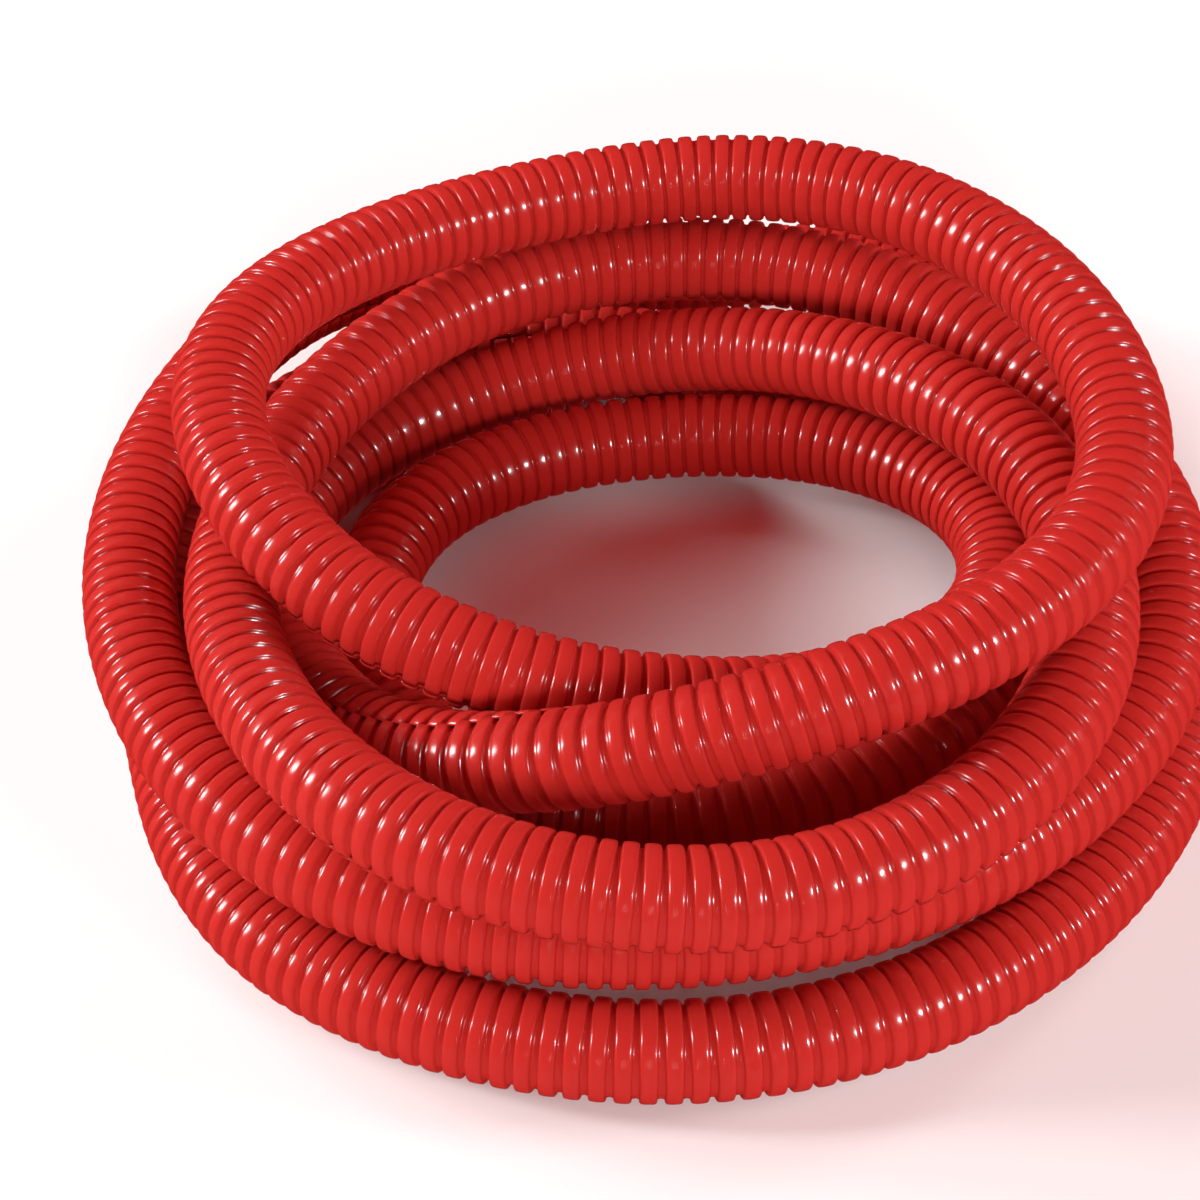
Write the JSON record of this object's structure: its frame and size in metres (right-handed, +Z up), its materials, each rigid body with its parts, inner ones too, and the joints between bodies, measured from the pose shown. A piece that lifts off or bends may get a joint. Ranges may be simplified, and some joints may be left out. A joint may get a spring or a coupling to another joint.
{
  "type": "coiled corrugated hose",
  "caption": "Loosely coiled length of glossy red corrugated plastic hose, slit along its length, lying flat with bare open ends. It sleeves and guards cables or thin air lines.",
  "frame": {"origin": "middle of the coil's bounding box at the height of the surface it lies on", "axes": "+Z up, -Y towards the front of the picture, +X to its right; the coil is longest along Y"},
  "size_m": [0.2136, 0.2234, 0.0666],
  "materials": {
    "hose_plastic": "glossy opaque red, moulded ribs"
  },
  "bodies": {
    "root": {"hose_inner_end": "hose_plastic", "hose_half_turn_01": "hose_plastic", "hose_half_turn_02": "hose_plastic", "hose_half_turn_03": "hose_plastic", "hose_half_turn_04": "hose_plastic", "hose_half_turn_05": "hose_plastic", "hose_half_turn_06": "hose_plastic", "hose_half_turn_07": "hose_plastic", "hose_half_turn_08": "hose_plastic", "hose_half_turn_09": "hose_plastic", "hose_half_turn_10": "hose_plastic", "hose_half_turn_11": "hose_plastic", "hose_outer_end": "hose_plastic"}
  },
  "joints": []
}
